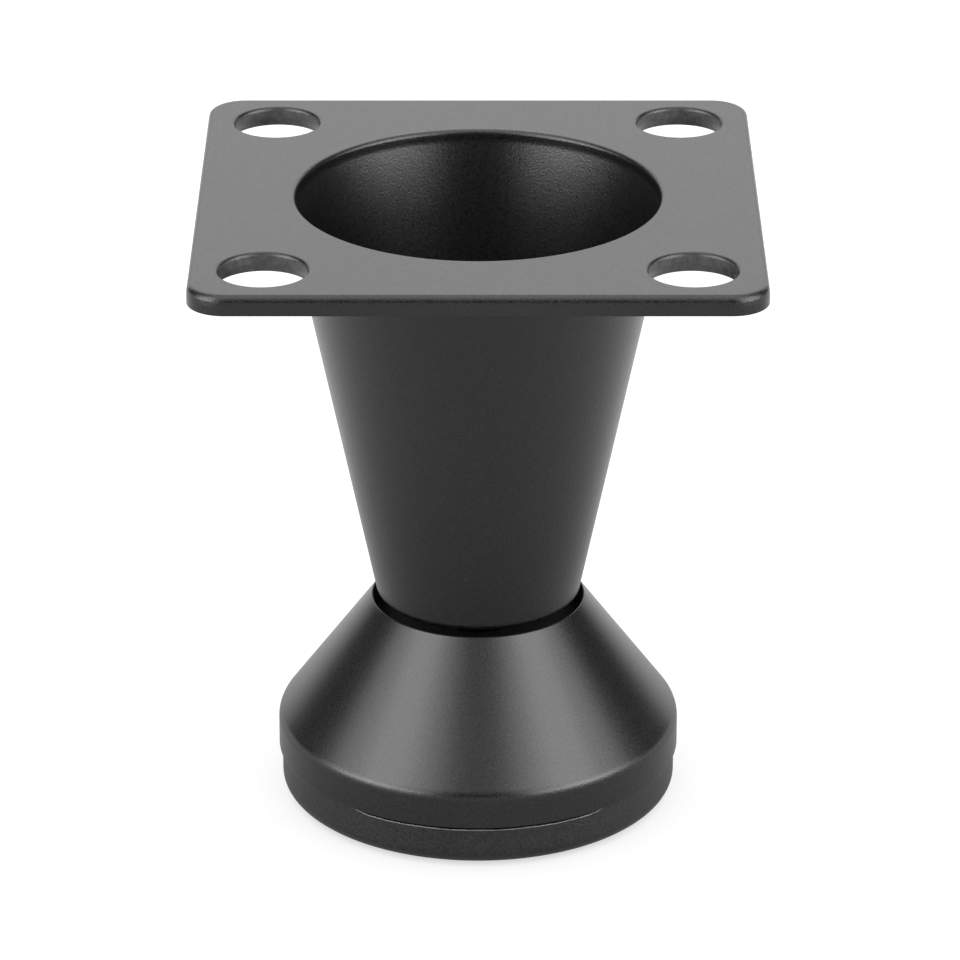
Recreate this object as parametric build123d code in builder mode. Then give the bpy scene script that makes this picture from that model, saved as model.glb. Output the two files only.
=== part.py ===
from build123d import *
import math
import os

# All sizes are in millimetres, with the floor at z = 0 and the leg's axis along Z

# Mounting plate
plate_side = 60.0
plate_thickness = 2.13
plate_corner_radius = 4.0
plate_upper_edge_radius = 0.95
plate_lower_edge_radius = 0.1
fixing_hole_diameter = 9.3
fixing_hole_inset = 7.75
fixing_hole_edge_radius = 0.4
opening_setback = 0.1
opening_edge_radius = 0.5

# Tapered leg, a cup of drawn sheet
cone_top_radius = 20.39
cone_end_radius = 11.06
cone_height = 44.55
cone_wall = 1.0
cone_floor = 1.2
cone_end_rounding = 0.9
cone_floor_rounding = 1.0
screw_passage_clearance = 0.6
weld_bead = 1.2

# Thread of the adjusting screw and its nut
thread_diameter = 8.0
running_clearance = 0.05
hexagon_sides = 6
hexagon_chamfer_angle = 30
hexagon_face_share = 0.95

# Weld nut
nut_across_flats = 13.0
nut_height = 6.5
nut_countersink = 0.5

# Adjusting screw
screw_length = 35.0
screw_tip_chamfer = 0.8
head_across_flats = 13.0
head_height = 5.3

# Foot cone
foot_radius = 22.17
foot_height = 17.9
foot_band_height = 3.82
foot_wall = 2.4
foot_crease_rounding = 2.0
foot_base_rounding = 0.15
lip_land = 0.1
lip_rounding = 0.25
mouth_clearance = 0.59
mouth_depth = 3.0
rest_gap = 0.37

# Underside of the foot cone
hub_radius = 13.0
hub_recess = 0.35
pocket_clearance = 0.05
head_recess = 0.2
coring_top_width = 1.35
rib_count = 6
rib_thickness = 1.6
rib_clearance = 0.5

# Glide
glide_thickness = 4.59
glide_setback = 0.36
glide_gap = 0.33
glide_lower_edge_radius = 1.5
glide_upper_edge_radius = 0.1
boss_setback = 0.5
collar_clearance = 0.3
collar_thickness = 1.6
collar_height = 3.5
snap_bead_radius = 0.35
snap_bead_height = 2.4
snap_clearance = 0.3

# Heights, from the floor up
foot_base_z = glide_thickness + glide_gap
hub_z = foot_base_z + hub_recess
head_z = hub_z + head_recess
shank_z = head_z + head_height
screw_tip_z = shank_z + screw_length
crease_z = foot_base_z + foot_band_height
lip_z = foot_base_z + foot_height
mouth_floor_z = lip_z - mouth_depth
collar_top_z = glide_thickness + collar_height
snap_z = glide_thickness + snap_bead_height
cone_end_z = lip_z + rest_gap
nut_z = cone_end_z + cone_floor
cone_top_z = cone_end_z + cone_height
plate_top_z = cone_top_z + plate_thickness

# Radii and places that follow from the sizes above
cone_taper = (cone_top_radius - cone_end_radius) / cone_height
cone_wall_run = cone_wall * math.hypot(1, cone_taper)
cone_inner_top_radius = cone_top_radius - cone_wall_run
cone_inner_floor_radius = cone_end_radius + cone_taper * cone_floor - cone_wall_run
opening_radius = cone_inner_top_radius + opening_setback
fixing_hole_spacing = plate_side - 2 * fixing_hole_inset
nut_bore_radius = thread_diameter / 2
screw_radius = nut_bore_radius - running_clearance
screw_passage_radius = nut_bore_radius + screw_passage_clearance
mouth_radius = cone_end_radius + mouth_clearance
lip_radius = mouth_radius + lip_land
foot_taper = (foot_radius - lip_radius) / (lip_z - crease_z)
foot_wall_run = foot_wall * math.hypot(1, foot_taper)
shell_inner_radius = foot_radius - foot_wall
coring_roof_radius = hub_radius + coring_top_width
coring_roof_z = crease_z + (foot_radius - foot_wall_run - coring_roof_radius) / foot_taper
coring_bend_z = crease_z - (foot_wall_run - foot_wall) / foot_taper
snap_groove_half_height = snap_bead_radius + snap_clearance
snap_groove_radius = shell_inner_radius - collar_clearance + snap_bead_radius + snap_clearance
rib_base_z = collar_top_z + rib_clearance
rib_middle_radius = (hub_radius + shell_inner_radius) / 2
collar_outer_radius = shell_inner_radius - collar_clearance
collar_inner_radius = collar_outer_radius - collar_thickness
boss_radius = hub_radius - boss_setback
glide_radius = foot_radius - glide_setback


def hexagon_trim(across_flats, low_z, high_z):
    """Half section that cuts a hexagon's corners to a cone at its lower and upper end."""
    corner = across_flats / math.sqrt(3)
    face = across_flats / 2 * hexagon_face_share
    drop = (corner - face) * math.tan(math.radians(hexagon_chamfer_angle))
    lower_half = [(0, low_z), (face, low_z), (corner, low_z + drop)]
    upper_half = [(corner, high_z - drop), (face, high_z), (0, high_z)]
    return lower_half + upper_half


# Mounting plate: flat sheet, punched, with softened upper edges
with BuildPart() as mounting_plate:
    with BuildSketch(Plane.XY.offset(cone_top_z)):
        RectangleRounded(plate_side, plate_side, plate_corner_radius)
        Circle(opening_radius, mode=Mode.SUBTRACT)
        with GridLocations(fixing_hole_spacing, fixing_hole_spacing, 2, 2):
            Circle(fixing_hole_diameter / 2, mode=Mode.SUBTRACT)
    extrude(amount=plate_thickness)
    rims = mounting_plate.faces().sort_by(Axis.Z)[-1].inner_wires().edges().sort_by(SortBy.LENGTH)
    fillet(rims[:-1], fixing_hole_edge_radius)
    rims = mounting_plate.faces().sort_by(Axis.Z)[-1].inner_wires().edges().sort_by(SortBy.LENGTH)
    fillet(rims[-1], opening_edge_radius)
    fillet(mounting_plate.faces().sort_by(Axis.Z)[-1].outer_wire().edges(), plate_upper_edge_radius)
    fillet(mounting_plate.faces().sort_by(Axis.Z)[0].outer_wire().edges(), plate_lower_edge_radius)

mounting_plate.part.label = "mounting_plate"

# Tapered leg: drawn cup with a pierced floor and the weld bead that joins it to the plate
with BuildPart() as leg_cone:
    with BuildSketch(Plane.XZ) as cup_section:
        with BuildLine():
            Polyline(
                (screw_passage_radius, cone_end_z),
                (cone_end_radius, cone_end_z),
                (cone_top_radius, cone_top_z),
                (cone_inner_top_radius, cone_top_z),
                (cone_inner_floor_radius, nut_z),
                (screw_passage_radius, nut_z),
                close=True,
            )
        make_face()
        fillet(cup_section.vertices().group_by(Axis.Y)[1].sort_by(Axis.X)[-1], cone_floor_rounding)
        fillet(cup_section.vertices().group_by(Axis.Y)[0].sort_by(Axis.X)[-1], cone_end_rounding)
        with BuildLine():
            Polyline(
                (cone_top_radius - cone_wall_run / 2, cone_top_z),
                (cone_top_radius + weld_bead, cone_top_z),
                (cone_top_radius - cone_taper * weld_bead, cone_top_z - weld_bead),
                close=True,
            )
        make_face()
    revolve(axis=Axis.Z)

leg_cone.part.label = "leg_cone"

# Weld nut on the floor of the cup
with BuildPart() as weld_nut:
    with BuildSketch(Plane.XY.offset(nut_z)):
        RegularPolygon(nut_across_flats / 2, hexagon_sides, major_radius=False)
        Circle(nut_bore_radius, mode=Mode.SUBTRACT)
    extrude(amount=nut_height)
    with BuildSketch(Plane.XZ):
        with BuildLine():
            Polyline(hexagon_trim(nut_across_flats, nut_z, nut_z + nut_height), close=True)
        make_face()
    revolve(axis=Axis.Z, mode=Mode.INTERSECT)
    bore_rims = weld_nut.edges().filter_by(GeomType.CIRCLE).sort_by(SortBy.RADIUS)[:2]
    chamfer(bore_rims, nut_countersink)

weld_nut.part.label = "weld_nut"

# Adjusting screw: head down in the foot, shank up through the nut
with BuildPart() as adjusting_screw:
    with BuildSketch(Plane.XY.offset(head_z)):
        RegularPolygon(head_across_flats / 2, hexagon_sides, major_radius=False)
    extrude(amount=head_height)
    with BuildSketch(Plane.XZ):
        with BuildLine():
            Polyline(hexagon_trim(head_across_flats, head_z, shank_z), close=True)
        make_face()
    revolve(axis=Axis.Z, mode=Mode.INTERSECT)
    with BuildSketch(Plane.XY.offset(shank_z)):
        Circle(screw_radius)
    extrude(amount=screw_length)
    chamfer(adjusting_screw.faces().sort_by(Axis.Z)[-1].edges(), screw_tip_chamfer)

adjusting_screw.part.label = "adjusting_screw"

# Ring of material that the moulding leaves out between the foot's hub and its shell, but for the ribs
with BuildPart() as coring:
    with BuildSketch(Plane.XZ) as coring_section:
        with BuildLine():
            Polyline(
                (hub_radius, foot_base_z),
                (shell_inner_radius, foot_base_z),
                (shell_inner_radius, snap_z - snap_groove_half_height),
                (snap_groove_radius, snap_z - snap_bead_radius),
                (snap_groove_radius, snap_z + snap_bead_radius),
                (shell_inner_radius, snap_z + snap_groove_half_height),
                (shell_inner_radius, coring_bend_z),
                (coring_roof_radius, coring_roof_z),
                (hub_radius, coring_roof_z),
                close=True,
            )
        make_face()
    revolve(axis=Axis.Z)
    with BuildSketch(Plane.XY.offset(rib_base_z)):
        with PolarLocations(rib_middle_radius, rib_count):
            Rectangle(shell_inner_radius, rib_thickness)
    extrude(amount=coring_roof_z - rib_base_z, mode=Mode.SUBTRACT)

# Foot cone: moulded skirt with a hub that holds the screw's head
with BuildPart() as foot_cone:
    with BuildSketch(Plane.XZ) as foot_section:
        with BuildLine():
            Polyline(
                (0, foot_base_z),
                (foot_radius, foot_base_z),
                (foot_radius, crease_z),
                (lip_radius, lip_z),
                (0, lip_z),
                close=True,
            )
        make_face()
        fillet(foot_section.vertices().group_by(Axis.Y)[-1].sort_by(Axis.X)[-1], lip_rounding)
        fillet(foot_section.vertices().group_by(Axis.Y)[1].sort_by(Axis.X)[-1], foot_crease_rounding)
        fillet(foot_section.vertices().group_by(Axis.Y)[0].sort_by(Axis.X)[-1], foot_base_rounding)
    revolve(axis=Axis.Z)
    with BuildSketch(Plane.XY.offset(mouth_floor_z)):
        Circle(mouth_radius)
    extrude(amount=mouth_depth, mode=Mode.SUBTRACT)
    add(coring.part, mode=Mode.SUBTRACT)
    with BuildSketch(Plane.XY.offset(foot_base_z)):
        Circle(hub_radius)
    extrude(amount=hub_recess, mode=Mode.SUBTRACT)
    with BuildSketch(Plane.XY.offset(hub_z)):
        RegularPolygon(head_across_flats / 2 + pocket_clearance, hexagon_sides, major_radius=False)
    extrude(amount=shank_z - hub_z, mode=Mode.SUBTRACT)
    with BuildSketch(Plane.XY.offset(shank_z)):
        Circle(nut_bore_radius + pocket_clearance)
    extrude(amount=mouth_floor_z - shank_z, mode=Mode.SUBTRACT)

foot_cone.part.label = "foot_cone"

# Glide: disc that rests on the floor, with a boss under the hub and a collar that snaps into the skirt
with BuildPart() as glide:
    with BuildSketch(Plane.XZ) as glide_section:
        with BuildLine():
            Polyline(
                (0, 0),
                (glide_radius, 0),
                (glide_radius, glide_thickness),
                (collar_outer_radius, glide_thickness),
                (collar_outer_radius, collar_top_z),
                (collar_inner_radius, collar_top_z),
                (collar_inner_radius, glide_thickness),
                (boss_radius, glide_thickness),
                (boss_radius, hub_z),
                (0, hub_z),
                close=True,
            )
        make_face()
        with Locations((collar_outer_radius, snap_z)):
            Circle(snap_bead_radius)
        fillet(glide_section.vertices().sort_by(Axis.X)[-2:].sort_by(Axis.Y)[-1], glide_upper_edge_radius)
        fillet(glide_section.vertices().group_by(Axis.Y)[0].sort_by(Axis.X)[-1], glide_lower_edge_radius)
    revolve(axis=Axis.Z)

glide.part.label = "glide"

# One file for each piece
os.makedirs("parts", exist_ok=True)
export_step(mounting_plate.part, "parts/mounting_plate.step")
export_step(leg_cone.part, "parts/leg_cone.step")
export_step(weld_nut.part, "parts/weld_nut.step")
export_step(adjusting_screw.part, "parts/adjusting_screw.step")
export_step(foot_cone.part, "parts/foot_cone.step")
export_step(glide.part, "parts/glide.step")
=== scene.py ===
"""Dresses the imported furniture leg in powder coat, satin plastic, rubber and blackened steel."""

import logging
import math
from collections.abc import Callable, Sequence
from dataclasses import dataclass
from enum import Enum

import bmesh
import bpy
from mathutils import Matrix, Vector
from mathutils.geometry import delaunay_2d_cdt


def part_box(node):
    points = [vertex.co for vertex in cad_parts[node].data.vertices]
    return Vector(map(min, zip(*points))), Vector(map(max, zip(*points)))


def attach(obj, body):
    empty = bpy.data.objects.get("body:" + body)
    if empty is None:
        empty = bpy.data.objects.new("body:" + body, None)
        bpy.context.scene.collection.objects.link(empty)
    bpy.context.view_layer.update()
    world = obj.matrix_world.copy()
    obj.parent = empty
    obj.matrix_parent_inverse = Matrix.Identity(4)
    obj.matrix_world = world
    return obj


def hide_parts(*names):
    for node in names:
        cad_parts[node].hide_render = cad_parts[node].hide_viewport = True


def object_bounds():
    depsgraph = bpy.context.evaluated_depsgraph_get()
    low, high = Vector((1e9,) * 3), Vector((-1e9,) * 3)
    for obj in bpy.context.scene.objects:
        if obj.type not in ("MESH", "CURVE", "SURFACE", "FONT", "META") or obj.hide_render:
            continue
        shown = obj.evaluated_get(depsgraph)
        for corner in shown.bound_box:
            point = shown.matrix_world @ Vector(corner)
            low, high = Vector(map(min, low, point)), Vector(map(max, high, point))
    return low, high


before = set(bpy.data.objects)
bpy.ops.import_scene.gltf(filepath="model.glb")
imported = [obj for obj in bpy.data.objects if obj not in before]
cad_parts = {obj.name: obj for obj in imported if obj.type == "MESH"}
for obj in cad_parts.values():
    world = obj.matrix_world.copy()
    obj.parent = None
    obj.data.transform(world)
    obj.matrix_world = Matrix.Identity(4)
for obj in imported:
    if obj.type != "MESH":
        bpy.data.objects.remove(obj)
CAD_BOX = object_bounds()

MM = 0.001
HEX_SIDES = 6
FULL_TURN = 2 * math.pi
MERGE_MM = 0.0005
HEX_CORNER_ROUNDING = 0.12
HEX_CHAMFER_DEGREES = 30.0
HEX_ARC_STEPS = 3
WHITE = (1.0, 1.0, 1.0, 1.0)

log = logging.getLogger("furniture_leg")

Outline = list[tuple[float, float]]


class Body(Enum):
    """Names of the moving bodies."""

    LEG = "fixed_leg"
    GLIDE = "standing_glide"
    FOOT = "turning_foot"


class Slot(Enum):
    """Names of the record's material slots."""

    POWDER_COAT = "black_powder_coat"
    BLACKENED_STEEL = "blackened_steel"
    SATIN_PLASTIC = "satin_black_plastic"
    RUBBER = "matt_black_rubber"


@dataclass(frozen=True)
class Reach:
    """How far a node of the frame reaches, in millimetres."""

    low: float
    high: float
    radius: float

    @classmethod
    def of(cls, node: str) -> "Reach":
        """Measures a node.

        Args:
            node: the node's name.

        Returns:
            Its lowest and highest level, and half its width.
        """
        low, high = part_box(node)
        return cls(low.z / MM, high.z / MM, (high.x - low.x) / 2 / MM)


@dataclass(frozen=True)
class Corner:
    """A corner of a half section in millimetres, rounded by a radius."""

    r: float
    z: float
    rounding: float = 0.0


def rounded_outline(
    corners: Sequence[Corner], closed: bool, steps: int = 8, support: float = 0.15,
) -> Outline:
    """Rounds the corners of a half section with arcs and holds each straight run flat near its ends.

    Args:
        corners: the corners in order.
        closed: whether the last corner joins the first.
        steps: how many straight pieces make up an arc.
        support: how far from a run's ends its extra points lie, in millimetres, or 0 for none.

    Returns:
        The points of the outline in order.
    """
    count = len(corners)
    arcs: list[Outline] = []
    for i, corner in enumerate(corners):
        here = Vector((corner.r, corner.z))
        before = Vector((corners[i - 1].r, corners[i - 1].z))
        after = Vector((corners[(i + 1) % count].r, corners[(i + 1) % count].z))
        is_end = not closed and i in (0, count - 1)
        if is_end or corner.rounding == 0:
            arcs.append([tuple(here)])
            continue
        arrive, leave = (here - before).normalized(), (after - here).normalized()
        turn = math.atan2(arrive.x * leave.y - arrive.y * leave.x, arrive.dot(leave))
        start = here - arrive * corner.rounding * math.tan(abs(turn) / 2)
        side = math.copysign(1, turn)
        centre = start + Vector((-arrive.y, arrive.x)) * corner.rounding * side
        spoke = start - centre
        arc = []
        for step in range(steps + 1):
            angle = turn * step / steps
            cos, sin = math.cos(angle), math.sin(angle)
            arc.append((centre.x + spoke.x * cos - spoke.y * sin, centre.y + spoke.x * sin + spoke.y * cos))
        arcs.append(arc)
    points: Outline = []
    for i, arc in enumerate(arcs):
        points += arc
        if i == count - 1 and not closed:
            break
        start, end = Vector(arc[-1]), Vector(arcs[(i + 1) % count][0])
        run = (end - start).length
        if support and run > 4 * support:
            along = (end - start) / run * support
            points += [tuple(start + along), tuple(end - along)]
    return points


def mesh_object(name: str, mesh: bmesh.types.BMesh, sharp_degrees: float = 32.0) -> bpy.types.Object:
    """Cleans a mesh given in millimetres and makes it an object in metres.

    Args:
        name: the new object's name.
        mesh: the mesh, which is used up.
        sharp_degrees: edges that bend more than this stay sharp.

    Returns:
        The object, at the origin.
    """
    bmesh.ops.remove_doubles(mesh, verts=mesh.verts, dist=MERGE_MM)
    bmesh.ops.recalc_face_normals(mesh, faces=mesh.faces)
    bmesh.ops.scale(mesh, vec=(MM, MM, MM), verts=mesh.verts)
    data = bpy.data.meshes.new(name)
    mesh.to_mesh(data)
    mesh.free()
    data.shade_smooth()
    data.set_sharp_from_angle(angle=math.radians(sharp_degrees))
    made = bpy.data.objects.new(name, data)
    bpy.context.scene.collection.objects.link(made)
    return made


def mark_wear_and_painted_light(piece: bpy.types.Object, strength: Callable[[Vector], float]) -> None:
    """Marks how much of its finish's marked colour each point takes: painted light and painted shade in
    places, and a flash's own paleness.

    Args:
        piece: the object.
        strength: gives that share, from 0 to 1, at a point in millimetres.
    """
    layer = piece.data.attributes.new(SurfaceGroup.WEAR_AND_PAINTED_LIGHT, "FLOAT", "POINT")
    layer.data.foreach_set("value", [strength(vert.co / MM) for vert in piece.data.vertices])


def polar_mesh(
    column: Callable[[float], Outline], angles: Sequence[float], closed: bool,
) -> bmesh.types.BMesh:
    """Joins half sections at successive angles round the axis.

    Args:
        column: gives the half section at an angle, always with as many points.
        angles: the angles in order, in radians, without the full turn.
        closed: whether a half section's last point joins its first.

    Returns:
        The mesh in millimetres.
    """
    mesh = bmesh.new()
    columns = []
    for angle in angles:
        cos, sin = math.cos(angle), math.sin(angle)
        columns.append([mesh.verts.new((r * cos, r * sin, z)) for r, z in column(angle)])
    count = len(columns[0])
    spans = count if closed else count - 1
    for i, left in enumerate(columns):
        right = columns[(i + 1) % len(columns)]
        for j in range(spans):
            k = (j + 1) % count
            mesh.faces.new((left[j], right[j], right[k], left[k]))
    return mesh


def even_angles(count: int) -> list[float]:
    """Angles that divide the full turn evenly."""
    return [FULL_TURN * i / count for i in range(count)]


def hexagon_radius(angle: float, across_flats: float, blunt: float = 0.985) -> float:
    """Distance from a hexagon's centre to its edge.

    Args:
        angle: the direction in radians, where 0 points at a corner.
        across_flats: the hexagon's width between flats.
        blunt: the share of the corner's reach that is left by its rounding.

    Returns:
        The distance, in the unit of across_flats.
    """
    sector = FULL_TURN / HEX_SIDES
    from_flat = angle % sector - sector / 2
    return min(across_flats / 2 / math.cos(from_flat), across_flats / math.sqrt(3) * blunt)


class NodeSheet:
    """Adds and links nodes in one node tree."""

    def __init__(self, tree: bpy.types.NodeTree) -> None:
        """Takes the tree and empties it.

        Args:
            tree: the node tree to work on.
        """
        self.tree = tree
        tree.nodes.clear()

    def add(self, kind: str, inputs: dict | None = None, **settings: object) -> bpy.types.Node:
        """Adds a node.

        Args:
            kind: the node's type.
            inputs: values or sockets for its inputs, by name or number.
            settings: its other properties.

        Returns:
            The new node.
        """
        node = self.tree.nodes.new(kind)
        for key, value in settings.items():
            setattr(node, key, value)
        for key, value in (inputs or {}).items():
            if isinstance(value, bpy.types.NodeSocket):
                self.tree.links.new(value, node.inputs[key])
            else:
                node.inputs[key].default_value = value
        return node


class ShaderSheet(NodeSheet):
    """A node sheet with the shader nodes that the finishes share."""

    def math(self, operation: str, first: object, second: object = 0.0) -> bpy.types.NodeSocket:
        """A Math node's result."""
        return self.add("ShaderNodeMath", {0: first, 1: second}, operation=operation).outputs[0]

    def ramp(
        self, value: object, low: float, high: float, to_low: object, to_high: float,
    ) -> bpy.types.NodeSocket:
        """Maps a value from one range to another, held at its ends.

        Args:
            value: the value's socket.
            low: where the first range starts.
            high: where the first range ends.
            to_low: where the second range starts.
            to_high: where the second range ends.

        Returns:
            The mapped value's socket.
        """
        inputs = {"Value": value, "From Min": low, "From Max": high, "To Min": to_low, "To Max": to_high}
        return self.add("ShaderNodeMapRange", inputs).outputs["Result"]

    def blend(self, factor: object, first: object, second: object) -> bpy.types.NodeSocket:
        """Mixes two colours.

        Args:
            factor: the share of the second colour.
            first: the first colour or its socket.
            second: the second colour or its socket.

        Returns:
            The mixed colour's socket.
        """
        node = self.add("ShaderNodeMix", data_type="RGBA")
        for index, value in ((0, factor), (6, first), (7, second)):
            if isinstance(value, bpy.types.NodeSocket):
                self.tree.links.new(value, node.inputs[index])
            else:
                node.inputs[index].default_value = value
        return node.outputs[2]

    def noise(
        self, place: object, scale: object, detail: float, roughness: float = 0.5,
    ) -> bpy.types.NodeSocket:
        """A noise texture's value.

        Args:
            place: the socket of the coordinates.
            scale: its frequency per metre.
            detail: how many finer octaves it adds.
            roughness: how strong those octaves are.

        Returns:
            The value's socket.
        """
        inputs = {"Vector": place, "Scale": scale, "Detail": detail, "Roughness": roughness}
        return self.add("ShaderNodeTexNoise", inputs).outputs[0]

    def seen_directly(self) -> bpy.types.NodeSocket:
        """Tells what the camera sees, also by reflection and through glass.

        Returns:
            A socket that is 1 there and 0 for the light on matt surfaces.
        """
        path = self.add("ShaderNodeLightPath").outputs
        either = self.math("MAXIMUM", path["Is Camera Ray"], path["Is Glossy Ray"])
        return self.math("MAXIMUM", either, path["Is Transmission Ray"])

    def paleness(self, mirrored: object) -> bpy.types.NodeSocket:
        """How pale the background is: white to the camera, and a little less by reflection and through glass.

        Args:
            mirrored: how pale it is to reflections, as a value or its socket, where 1 is white.

        Returns:
            The socket of its strength.
        """
        camera = self.add("ShaderNodeLightPath").outputs["Is Camera Ray"]
        return self.ramp(camera, 0.0, 1.0, mirrored, 1.0)


class SurfaceGroup:
    """The shared surface effect: a fine grain, sparse flecks, a slow drift of tone, and a marked share that
    carries painted light and painted shade.
    """

    NAME = "surface_grain"
    WEAR_AND_PAINTED_LIGHT = "wear_and_painted_light"
    INPUTS = (("Grain Scale", 3600.0), ("Fleck Scale", 1200.0), ("Drift Scale", 60.0))
    OUTPUTS = ("Height", "Grain", "Fleck", "Drift", "Wear And Painted Light")
    FLECK_RARITY = 0.82
    FLECK_HEIGHT = 0.04

    @classmethod
    def tree(cls) -> bpy.types.NodeTree:
        """Builds the group once.

        Returns:
            The node group, shared by every finish.
        """
        made = bpy.data.node_groups.get(cls.NAME)
        if made is not None:
            return made
        made = bpy.data.node_groups.new(cls.NAME, "ShaderNodeTree")
        sheet = ShaderSheet(made)
        for name, value in cls.INPUTS:
            socket = made.interface.new_socket(name=name, in_out="INPUT", socket_type="NodeSocketFloat")
            socket.default_value = value
        for name in cls.OUTPUTS:
            made.interface.new_socket(name=name, in_out="OUTPUT", socket_type="NodeSocketFloat")
        given = sheet.add("NodeGroupInput").outputs
        place = sheet.add("ShaderNodeTexCoord").outputs["Object"]
        fine = sheet.noise(place, given["Grain Scale"], 2.0, 0.6)
        cells = sheet.add("ShaderNodeTexVoronoi", {"Vector": place, "Scale": given["Fleck Scale"]}).outputs
        speck = sheet.ramp(cells["Distance"], 0.05, 0.22, 1.0, 0.0)
        pick = sheet.add("ShaderNodeSeparateColor", {0: cells["Color"]}).outputs[0]
        fleck = sheet.math("MULTIPLY", speck, sheet.math("GREATER_THAN", pick, cls.FLECK_RARITY))
        drift = sheet.noise(place, given["Drift Scale"], 3.0)
        height = sheet.math("ADD", fine, sheet.math("MULTIPLY", fleck, cls.FLECK_HEIGHT))
        # The marked share, uneven along its length: painted light and painted shade where a piece marks them.
        marked = sheet.add("ShaderNodeAttribute", attribute_name=cls.WEAR_AND_PAINTED_LIGHT).outputs["Fac"]
        uneven = sheet.ramp(sheet.noise(place, given["Fleck Scale"], 3.0, 0.6), 0.35, 0.65, 0.5, 1.0)
        wear_and_painted_light = sheet.math("MINIMUM", sheet.math("MULTIPLY", marked, uneven), 1.0)
        outputs = {"Height": height, "Grain": fine, "Fleck": fleck, "Drift": drift, "Wear And Painted Light": wear_and_painted_light}
        sheet.add("NodeGroupOutput", outputs)
        return made


@dataclass(frozen=True)
class Finish:
    """A surface finish: its colours, gloss and grain."""

    slot: Slot
    dark: tuple[float, float, float]
    light: tuple[float, float, float]
    roughness: tuple[float, float]
    refraction: float
    grain_scale: float
    fleck_scale: float
    drift_scale: float
    grain_depth_mm: float
    metallic: float = 0.0
    fleck_gain: float = 0.0
    # The marked colour and roughness: painted light and painted shade where a piece marks them, and a flash's
    # own paleness.
    worn_and_painted_light: tuple[float, float, float] = (0.05, 0.05, 0.05)
    worn_and_painted_light_roughness: float = 0.45

    def material(self) -> bpy.types.Material:
        """Builds the finish's material once.

        Returns:
            The material.
        """
        name = f"{self.slot.value}_finish"
        made = bpy.data.materials.get(name)
        if made is not None:
            return made
        made = bpy.data.materials.new(name)
        made.use_nodes = True
        sheet = ShaderSheet(made.node_tree)
        inputs = {
            "Grain Scale": self.grain_scale,
            "Fleck Scale": self.fleck_scale,
            "Drift Scale": self.drift_scale,
        }
        surface = sheet.add("ShaderNodeGroup", node_tree=SurfaceGroup.tree())
        for name, value in inputs.items():
            surface.inputs[name].default_value = value
        given = surface.outputs
        slow = sheet.ramp(given["Drift"], 0.3, 0.7, -0.15, 0.15)
        tone = sheet.math("ADD", sheet.ramp(given["Grain"], 0.3, 0.7, 0.0, 1.0), slow)
        tone = sheet.math("ADD", tone, sheet.math("MULTIPLY", given["Fleck"], self.fleck_gain))
        colour = sheet.blend(tone, (*self.dark, 1.0), (*self.light, 1.0))
        # Painted light and painted shade: the marked colour takes over where a piece marks it.
        colour = sheet.blend(given["Wear And Painted Light"], colour, (*self.worn_and_painted_light, 1.0))
        rough = sheet.ramp(given["Height"], 0.3, 0.75, *self.roughness)
        rough = sheet.ramp(given["Wear And Painted Light"], 0.0, 1.0, rough, self.worn_and_painted_light_roughness)
        depth = self.grain_depth_mm * MM
        bump = sheet.add("ShaderNodeBump", {"Height": given["Height"], "Strength": 1.0, "Distance": depth})
        shader = sheet.add("ShaderNodeBsdfPrincipled", {
            "Base Color": colour, "Roughness": rough, "Metallic": self.metallic, "IOR": self.refraction,
            "Normal": bump.outputs["Normal"],
        })
        sheet.add("ShaderNodeOutputMaterial", {"Surface": shader.outputs[0]})
        return made

    def dress(self, piece: bpy.types.Object, body: Body, *nodes: str) -> bpy.types.Object:
        """Gives a finished piece its material and body.

        Args:
            piece: the object.
            body: the body that it rides on.
            nodes: the frame's nodes that it stands for.

        Returns:
            The same object.
        """
        piece.data.materials.clear()
        piece.data.materials.append(self.material())
        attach(piece, body.value)
        if nodes:
            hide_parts(*nodes)
        log.info("%s: %d faces on %s", piece.name, len(piece.data.polygons), body.value)
        return piece


POWDER_COAT = Finish(
    Slot.POWDER_COAT, (0.001, 0.001, 0.001), (0.0145, 0.0145, 0.0145), (0.27, 0.35), 1.45,
    grain_scale=4400.0, fleck_scale=1500.0, drift_scale=45.0, grain_depth_mm=0.031, fleck_gain=0.5,
    # Painted light on the fixing holes' walls: a paler grey.
    worn_and_painted_light=(0.12, 0.114, 0.117),
)
SATIN_PLASTIC = Finish(
    Slot.SATIN_PLASTIC, (0.0045, 0.0037, 0.0033), (0.0235, 0.0214, 0.0204), (0.26, 0.32), 1.45,
    grain_scale=5400.0, fleck_scale=2200.0, drift_scale=70.0, grain_depth_mm=0.013, fleck_gain=0.2,
    # Painted shade inside the foot's mouth: nearly black and rough.
    worn_and_painted_light=(0.002, 0.002, 0.002), worn_and_painted_light_roughness=0.95,
)
RUBBER = Finish(
    Slot.RUBBER, (0.006, 0.006, 0.006), (0.026, 0.026, 0.026), (0.33, 0.43), 1.45,
    grain_scale=3600.0, fleck_scale=900.0, drift_scale=80.0, grain_depth_mm=0.055, fleck_gain=0.8,
    # The flash's pale colour: partly its own, partly a painted highlight.
    worn_and_painted_light=(0.3, 0.3, 0.3),
)
BLACKENED_STEEL = Finish(
    Slot.BLACKENED_STEEL, (0.02, 0.02, 0.022), (0.042, 0.042, 0.044), (0.3, 0.42), 1.5,
    grain_scale=2600.0, fleck_scale=1400.0, drift_scale=140.0, grain_depth_mm=0.006, metallic=1.0,
)


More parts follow.
